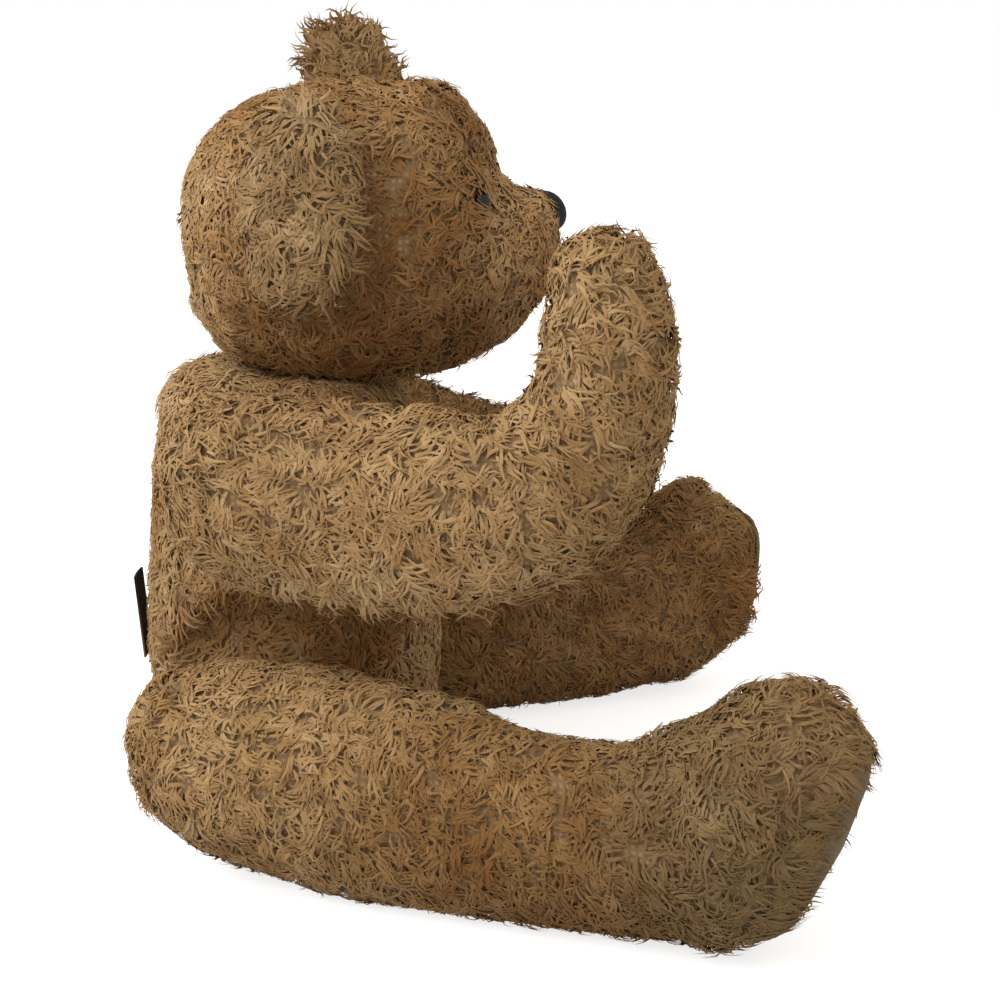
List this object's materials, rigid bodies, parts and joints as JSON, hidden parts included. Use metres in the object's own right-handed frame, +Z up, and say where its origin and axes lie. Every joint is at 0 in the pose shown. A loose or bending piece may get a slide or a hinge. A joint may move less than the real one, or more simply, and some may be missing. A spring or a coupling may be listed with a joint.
{
  "type": "teddy bear",
  "caption": "Sitting jointed teddy bear in curly golden mohair, with felt pads, a stitched nose and a head, arms and legs that turn on discs.",
  "frame": {"origin": "middle of the sitting bear's outline, on the floor it sits on", "axes": "+X the way the bear faces, +Y to its left, +Z up"},
  "size_m": [0.2277, 0.2776, 0.2634],
  "materials": {
    "mohair": "curly golden tan pile",
    "wood_wool": "packed pale wood wool",
    "felt": "worn greyish felt",
    "black_floss": "waxed black embroidery floss",
    "tab_cloth": "thin dark woven cloth",
    "eye_glass": "polished black glass",
    "fibreboard": "raw brown fibreboard",
    "washer_steel": "plain steel",
    "pin_steel": "plain steel wire"
  },
  "bodies": {
    "torso": {"back_tab": "tab_cloth", "body_cover": "mohair", "body_stuffing": "wood_wool", "hip_left_disc_body": "fibreboard", "hip_left_washer_body": "washer_steel", "hip_right_disc_body": "fibreboard", "hip_right_washer_body": "washer_steel", "neck_disc_body": "fibreboard", "neck_washer_body": "washer_steel", "shoulder_left_disc_body": "fibreboard", "shoulder_left_washer_body": "washer_steel", "shoulder_right_disc_body": "fibreboard", "shoulder_right_washer_body": "washer_steel"},
    "head": {"ear_left": "mohair", "ear_right": "mohair", "eye_left": "eye_glass", "eye_right": "eye_glass", "head_cover": "mohair", "head_stuffing": "wood_wool", "mouth": "black_floss", "neck_disc_limb": "fibreboard", "neck_pin": "pin_steel", "neck_washer_limb": "washer_steel", "nose": "black_floss"},
    "arm_right": {"arm_right_cover": "mohair", "arm_right_stuffing": "wood_wool", "paw_pad_right": "felt", "shoulder_right_disc_limb": "fibreboard", "shoulder_right_pin": "pin_steel", "shoulder_right_washer_limb": "washer_steel"},
    "arm_left": {"arm_left_cover": "mohair", "arm_left_stuffing": "wood_wool", "paw_pad_left": "felt", "shoulder_left_disc_limb": "fibreboard", "shoulder_left_pin": "pin_steel", "shoulder_left_washer_limb": "washer_steel"},
    "leg_right": {"hip_right_disc_limb": "fibreboard", "hip_right_pin": "pin_steel", "hip_right_washer_limb": "washer_steel", "leg_right_cover": "mohair", "leg_right_stuffing": "wood_wool", "sole_pad_right": "felt"},
    "leg_left": {"hip_left_disc_limb": "fibreboard", "hip_left_pin": "pin_steel", "hip_left_washer_limb": "washer_steel", "leg_left_cover": "mohair", "leg_left_stuffing": "wood_wool", "sole_pad_left": "felt"}
  },
  "joints": [
    {"name": "head_turn", "type": "hinge", "parent": "torso", "child": "head", "pos_m": [-0.0508, 0, 0.15], "axis": [0, 0, 1], "continuous": true},
    {"name": "arm_right_turn", "type": "hinge", "parent": "torso", "child": "arm_right", "pos_m": [-0.0618, -0.0425, 0.1225], "axis": [0, -1, 0], "range_deg": [-10, 180]},
    {"name": "arm_left_turn", "type": "hinge", "parent": "torso", "child": "arm_left", "pos_m": [-0.0618, 0.0425, 0.1225], "axis": [0, -1, 0], "range_deg": [0, 180]},
    {"name": "leg_right_turn", "type": "hinge", "parent": "torso", "child": "leg_right", "pos_m": [-0.0643, -0.0385, 0.038], "axis": [-0.2924, -0.9563, 0], "range_deg": [-110, 10]},
    {"name": "leg_left_turn", "type": "hinge", "parent": "torso", "child": "leg_left", "pos_m": [-0.0643, 0.0385, 0.038], "axis": [0.2924, -0.9563, 0], "range_deg": [-110, 0]}
  ]
}
